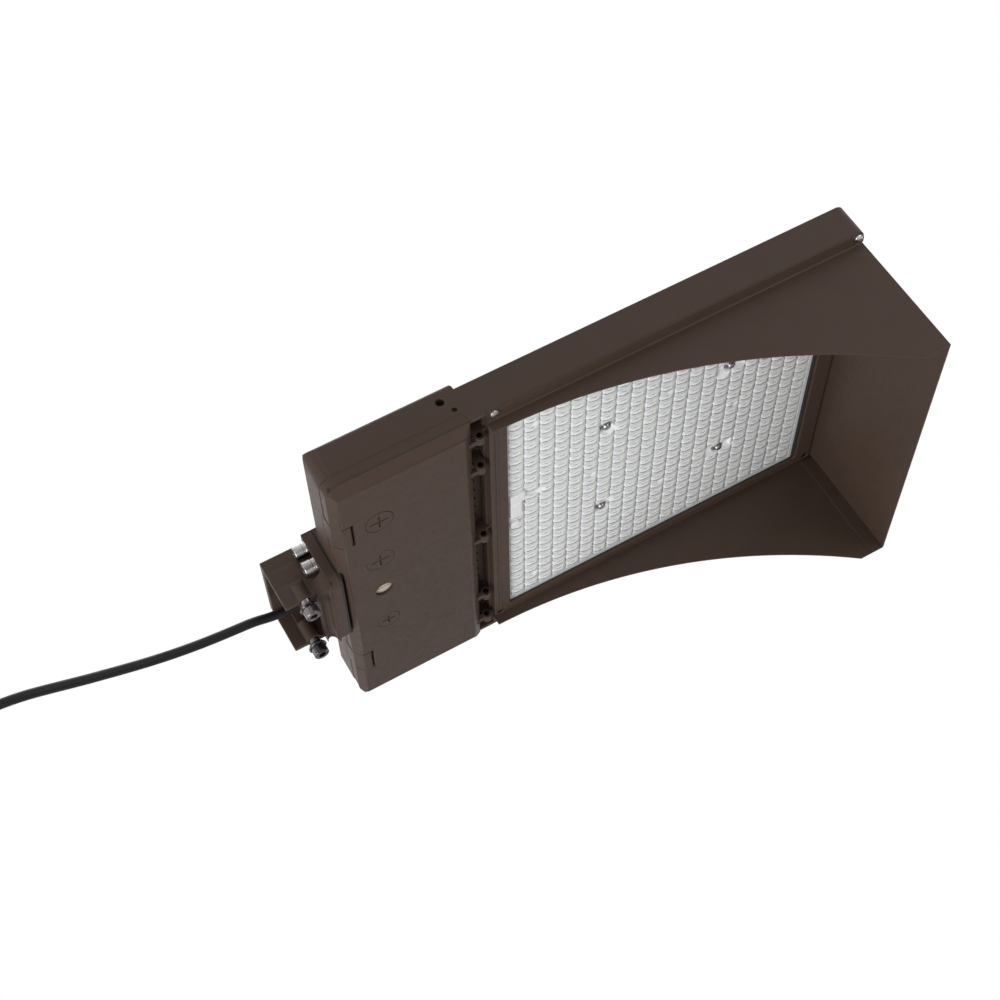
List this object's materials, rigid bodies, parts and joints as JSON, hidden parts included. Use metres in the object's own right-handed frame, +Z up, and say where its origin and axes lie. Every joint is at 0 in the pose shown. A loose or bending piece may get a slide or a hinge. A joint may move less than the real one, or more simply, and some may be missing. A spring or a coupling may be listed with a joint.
{
  "type": "shoebox area light",
  "caption": "Flat rectangular area light on a short bolted pole arm, with a hinged driver door, a lenslet LED panel and a deep folded glare shield that curves down to the front.",
  "frame": {"origin": "centre of the pole arm's open end, where the pole bracket goes in", "axes": "+X along the light away from the pole, +Z up (the light shines towards -Z), +Y across it"},
  "size_m": [0.8838, 0.3607, 0.1655],
  "materials": {
    "bronze_casting": "fine-textured dark bronze powder coat on cast aluminium",
    "bronze_sheet": "fine-textured dark bronze powder coat on folded sheet",
    "plug_paint": "dark bronze powder coat on cast aluminium",
    "gasket": "matt grey silicone",
    "steel": "stainless steel",
    "driver_case": "bare aluminium case",
    "black_plastic": "matt black nylon",
    "pale_plastic": "matt off-white plastic",
    "lead_jacket": "thin coloured insulation",
    "board": "white solder mask",
    "lens": "clear moulded acrylic over a white board",
    "lens_rim": "clear moulded acrylic",
    "cord_jacket": "matt black rubber jacket"
  },
  "bodies": {
    "fixture": {"pole_arm": "bronze_casting", "arm_gasket": "gasket", "flange_screws": "steel", "flange_washers": "steel", "lock_screws": "steel", "lock_washers": "steel", "housing": "bronze_casting", "door_gasket": "gasket", "hinge_pins": "steel", "led_driver": "driver_case", "driver_screws": "steel", "surge_protector": "black_plastic", "terminal_block": "pale_plastic", "supply_leads": "lead_jacket", "driver_leads": "lead_jacket", "cable_gland": "black_plastic", "gland_seal": "gasket", "gland_nut": "black_plastic", "gland_locknut": "black_plastic", "cord_entry": "cord_jacket", "led_board": "board", "lens_array": "lens", "lens_frame": "lens_rim", "lens_gasket": "gasket", "lens_screws": "steel", "bezel": "bronze_sheet", "bezel_screws": "steel", "shield_front": "bronze_sheet", "shield_left": "bronze_sheet", "shield_right": "bronze_sheet", "shield_screws": "steel", "power_cord": "cord_jacket", "cord_coil": "cord_jacket", "cord_tie": "black_plastic", "cord_leads": "lead_jacket"},
    "door": {"driver_door": "bronze_casting", "selector_switch": "black_plastic", "plug_seals": "gasket", "latch_pins": "steel"},
    "left_latch": {"latch_left": "bronze_casting"},
    "right_latch": {"latch_right": "bronze_casting"},
    "plug_a": {"large_plug_left": "plug_paint"},
    "plug_b": {"large_plug_middle": "plug_paint"},
    "plug_c": {"small_plug": "plug_paint"},
    "dial": {"selector_dial": "pale_plastic"}
  },
  "joints": [
    {"name": "door_hinge", "type": "hinge", "parent": "fixture", "child": "door", "pos_m": [0.181, 0, -0.024], "axis": [0, -1, 0], "range_deg": [0, 90]},
    {"name": "left_latch_hinge", "type": "hinge", "parent": "door", "child": "left_latch", "pos_m": [0.0622, -0.1067, -0.0274], "axis": [0, -1, 0], "range_deg": [0, 90]},
    {"name": "right_latch_hinge", "type": "hinge", "parent": "door", "child": "right_latch", "pos_m": [0.0622, 0.1067, -0.0274], "axis": [0, -1, 0], "range_deg": [0, 90]},
    {"name": "plug_a_turn", "type": "hinge", "parent": "door", "child": "plug_a", "pos_m": [0.0875, -0.109, -0.0302], "axis": [0, 0, -1], "continuous": true},
    {"name": "plug_b_turn", "type": "hinge", "parent": "door", "child": "plug_b", "pos_m": [0.084, -0.0516, -0.0302], "axis": [0, 0, -1], "continuous": true},
    {"name": "plug_c_turn", "type": "hinge", "parent": "door", "child": "plug_c", "pos_m": [0.084, 0.0501, -0.0302], "axis": [0, 0, -1], "continuous": true},
    {"name": "dial_turn", "type": "hinge", "parent": "door", "child": "dial", "pos_m": [0.084, -0.003, -0.0276], "axis": [0, 0, -1], "range_deg": [-60, 60]}
  ]
}
